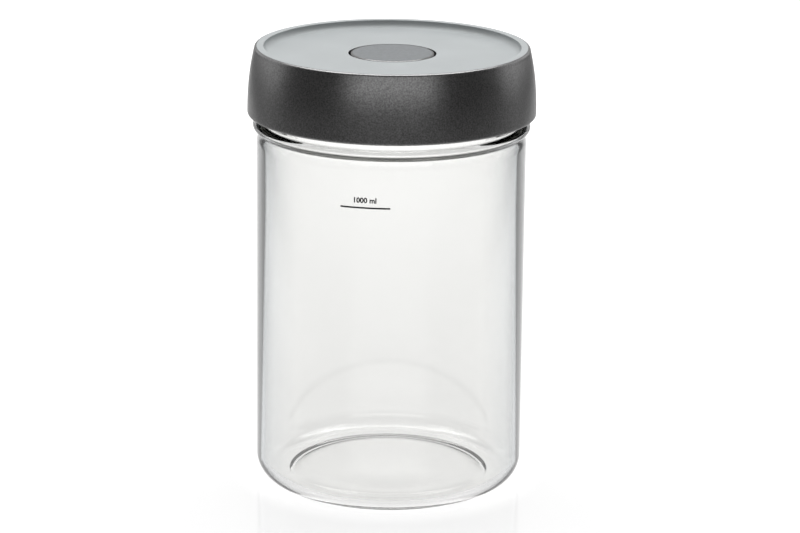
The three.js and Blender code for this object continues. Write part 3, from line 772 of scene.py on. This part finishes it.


# floor: pale acrylic with a painted glow, an emitted pool of light brightest behind the jar and under it, so
# the glass throws hardly any shadow (metres)
floorStyle = {"tone": "#707070", "halfSize": 4.0, "drop": 0.0002, "roughness": 0.08, "farRoughness": 0.6,
              "ior": 1.45, "specular": 0.25, "poolMiddle": (0, 0.55, 0), "poolInner": 0.68, "poolOuter": 1.0,
              "poolNarrow": 1.8, "paintedGlow": 0.72, "paintedGlowMiddle": 0.95, "middleFrom": 0.1, "middleTo": 0.45,
              "paintedFootGlow": 0.22, "footInner": 0.042, "footOuter": 0.066}
glossyFloor, tree = newMaterial("paleFloorPaintedGlow")
coords = addNode(tree, "ShaderNodeTexCoord")
shifted = addNode(tree, "ShaderNodeVectorMath", {"operation": "SUBTRACT"}, {
    0: coords.outputs["Object"], 1: floorStyle["poolMiddle"]})
ahead = addNode(tree, "ShaderNodeVectorMath", {"operation": "MINIMUM"}, {  # the pool has no end at the back
    0: shifted.outputs["Vector"], 1: (floorStyle["halfSize"], 0, 0)})
narrowed = addNode(tree, "ShaderNodeVectorMath", {"operation": "MULTIPLY"}, {
    0: ahead.outputs["Vector"], 1: (floorStyle["poolNarrow"], 1, 0)})
away = addNode(tree, "ShaderNodeVectorMath", {"operation": "LENGTH"}, {0: narrowed.outputs["Vector"]})
paintedPool = addNode(tree, "ShaderNodeMapRange", {"interpolation_type": "SMOOTHSTEP"}, {
    "Value": away.outputs["Value"], "From Min": floorStyle["poolInner"], "From Max": floorStyle["poolOuter"],
    "To Min": 1.0, "To Max": 0.0})
crown = addNode(tree, "ShaderNodeMapRange", inputs={  # painted glow, brightest in the pool's middle, behind the jar
    "Value": away.outputs["Value"], "From Min": floorStyle["middleFrom"], "From Max": floorStyle["middleTo"],
    "To Min": floorStyle["paintedGlowMiddle"], "To Max": floorStyle["paintedGlow"]})
paintedGlow = addNode(tree, "ShaderNodeMath", {"operation": "MULTIPLY"}, {
    0: paintedPool.outputs["Result"], 1: crown.outputs["Result"]})
near = addNode(tree, "ShaderNodeVectorMath", {"operation": "LENGTH"}, {0: coords.outputs["Object"]})
foot = addNode(tree, "ShaderNodeMapRange", {"interpolation_type": "SMOOTHSTEP"}, {  # a painted glow on the floor under the jar, where no lamp is
    "Value": near.outputs["Value"], "From Min": floorStyle["footInner"], "From Max": floorStyle["footOuter"],
    "To Min": floorStyle["paintedFootGlow"], "To Max": 0.0})
paintedGlowStrength = addNode(tree, "ShaderNodeMath", {"operation": "ADD"}, {
    0: paintedGlow.outputs[0], 1: foot.outputs["Result"]})
gloss = addNode(tree, "ShaderNodeMapRange", inputs={
    "Value": away.outputs["Value"], "From Min": floorStyle["poolInner"], "From Max": floorStyle["poolOuter"],
    "To Min": floorStyle["roughness"], "To Max": floorStyle["farRoughness"]})
# the emission strength is the painted glow: the pool, its crown and the glow under the jar
shader = addNode(tree, "ShaderNodeBsdfPrincipled", inputs={
    "Base Color": linear(floorStyle["tone"]), "Roughness": gloss.outputs["Result"], "IOR": floorStyle["ior"],
    "Specular IOR Level": floorStyle["specular"], "Emission Color": (1, 1, 1, 1),
    "Emission Strength": paintedGlowStrength.outputs[0]})
addNode(tree, "ShaderNodeOutputMaterial", inputs={"Surface": shader.outputs["BSDF"]})
mesh = bmesh.new()
bmesh.ops.create_grid(mesh, x_segments=1, y_segments=1, size=floorStyle["halfSize"])
floor = finishMesh("floor", mesh, [glossyFloor])
floor.location.z = -floorStyle["drop"]

# soft light from above, behind, both sides and, weakly, from the front (metres and watts)
softboxes = [
    {"name": "highSoftbox", "at": (0, 0.55, 1.7), "aim": (0, 0.3, 0), "size": (2.4, 1.5), "power": 59},
    {"name": "backSoftbox", "at": (0, 2.4, 0.78), "aim": (0, 0, 0.78), "size": (3.4, 1.5), "power": 16},
    {"name": "frontSoftbox", "at": (0, -1.9, 0.574), "aim": (0, 0, 0.17), "size": (2.7, 0.56), "power": 7.5},
    {"name": "sideSoftbox", "at": (-1.8, 1.2, 0.7), "aim": (0, 0, 0.17), "size": (2.2, 1.4), "power": 9},
    {"name": "sideSoftbox", "at": (1.8, 1.2, 0.7), "aim": (0, 0, 0.17), "size": (2.2, 1.4), "power": 9}]
studio = {"colour": (1, 1, 1, 1), "strength": 0.08}

for box in softboxes:
    data = bpy.data.lights.new(box["name"], "AREA")
    data.shape = "RECTANGLE"
    data.size, data.size_y = box["size"]
    data.energy = box["power"]
    light = bpy.data.objects.new(box["name"], data)
    bpy.context.collection.objects.link(light)
    light.location = box["at"]
    light.rotation_euler = (Vector(box["aim"]) - Vector(box["at"])).to_track_quat("-Z", "Y").to_euler()
world = bpy.data.worlds.new("studio")
bpy.context.scene.world = world
world.use_nodes = True
background = world.node_tree.nodes["Background"]
background.inputs["Color"].default_value = studio["colour"]
background.inputs["Strength"].default_value = studio["strength"]
bpy.context.scene.view_settings.view_transform = "Standard"
print("floor and light placed")
